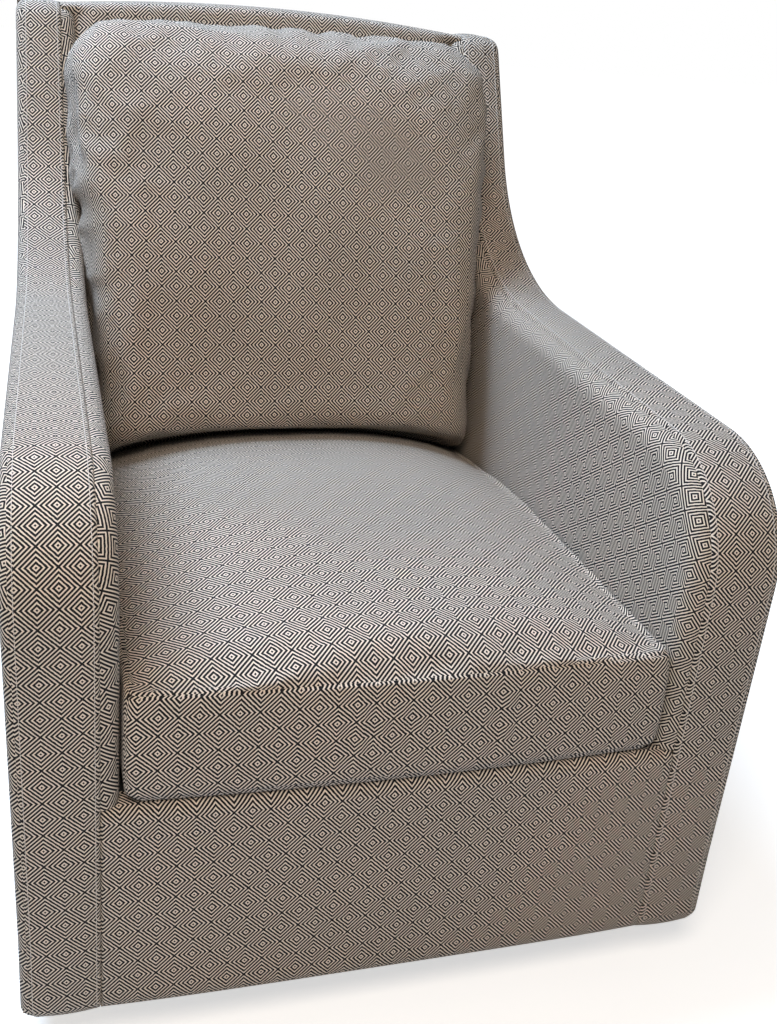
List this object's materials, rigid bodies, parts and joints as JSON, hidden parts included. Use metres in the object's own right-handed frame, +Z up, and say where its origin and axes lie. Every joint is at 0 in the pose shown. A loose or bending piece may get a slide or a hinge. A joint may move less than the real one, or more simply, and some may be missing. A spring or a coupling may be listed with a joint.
{
  "type": "swivel armchair",
  "caption": "Upholstered swivel armchair with sloped wings, a loose box seat cushion and a loose back pillow, turning on a low ball-bearing ring base.",
  "frame": {"origin": "on the floor, on the swivel axis, under the middle of the chair", "axes": "+Z up along the swivel axis, the seat faces -Y, +X to the right of someone facing the chair"},
  "size_m": [0.7552, 0.876, 0.949],
  "materials": {
    "cover_fabric": "woven concentric diamonds, black on warm cream",
    "frame_wood": "bare plywood and hardwood",
    "base_paint": "black powder coat",
    "steel": "zinc plated",
    "plastic": "moulded nylon",
    "lining": "black lining cloth",
    "filling": "foam and fibre",
    "zip_tape": "nylon coil zip"
  },
  "bodies": {
    "base": {"base_ring": "base_paint", "long_cross_bar": "base_paint", "short_cross_bars": "base_paint", "glides": "plastic", "lower_swivel_plate": "steel", "base_bolts": "steel", "base_nuts": "steel", "pivot_pin": "steel", "pivot_washer": "steel", "pivot_nut": "steel"},
    "bearing": {"ball_cage": "plastic", "bearing_balls": "steel"},
    "chair": {"upper_swivel_plate": "steel", "mount_board": "frame_wood", "mount_bolts": "steel", "mount_nuts": "steel", "corner_blocks": "frame_wood", "frame_screws": "steel", "seat_springs": "steel", "spring_clips": "steel", "back_straps": "lining", "seat_deck": "lining", "front_dust_cover": "lining", "rear_dust_cover": "lining", "front_border": "cover_fabric", "inside_back_panel": "cover_fabric", "outside_back_panel": "cover_fabric", "upper_front_rail": "frame_wood", "lower_front_rail": "frame_wood", "rear_seat_rail": "frame_wood", "lower_rear_rail": "frame_wood", "lower_back_rail": "frame_wood", "top_back_rail": "frame_wood", "left_arm_band": "cover_fabric", "left_inside_arm_panel": "cover_fabric", "left_outside_arm_panel": "cover_fabric", "left_arm_inner_board": "frame_wood", "left_arm_outer_board": "frame_wood", "left_front_post": "frame_wood", "left_arm_rail": "frame_wood", "left_wing_post": "frame_wood", "left_arm_foot_rail": "frame_wood", "right_arm_band": "cover_fabric", "right_inside_arm_panel": "cover_fabric", "right_outside_arm_panel": "cover_fabric", "right_arm_inner_board": "frame_wood", "right_arm_outer_board": "frame_wood", "right_front_post": "frame_wood", "right_arm_rail": "frame_wood", "right_wing_post": "frame_wood", "right_arm_foot_rail": "frame_wood"},
    "seat_cushion": {"seat_cushion_cover": "cover_fabric", "seat_cushion_foam": "filling", "seat_cushion_zip": "zip_tape"},
    "back_cushion": {"back_cushion_cover": "cover_fabric", "back_cushion_fill": "filling", "back_cushion_zip": "zip_tape"}
  },
  "joints": [
    {"name": "swivel", "type": "hinge", "parent": "base", "child": "chair", "pos_m": [0, 0, 0], "axis": [0, 0, 1], "continuous": true},
    {"name": "ball_roll", "type": "hinge", "parent": "base", "child": "bearing", "pos_m": [0, 0, 0], "axis": [0, 0, 1], "continuous": true},
    {"name": "seat_cushion_pull", "type": "slide", "parent": "chair", "child": "seat_cushion", "axis": [0, -0.9997, 0.0262], "range_m": [0, 0.6]},
    {"name": "back_cushion_lift", "type": "slide", "parent": "chair", "child": "back_cushion", "axis": [0, 0.2419, 0.9703], "range_m": [0, 0.35]}
  ],
  "couplings": [
    {"joint": "ball_roll", "follows": "swivel", "ratio": 0.5}
  ]
}
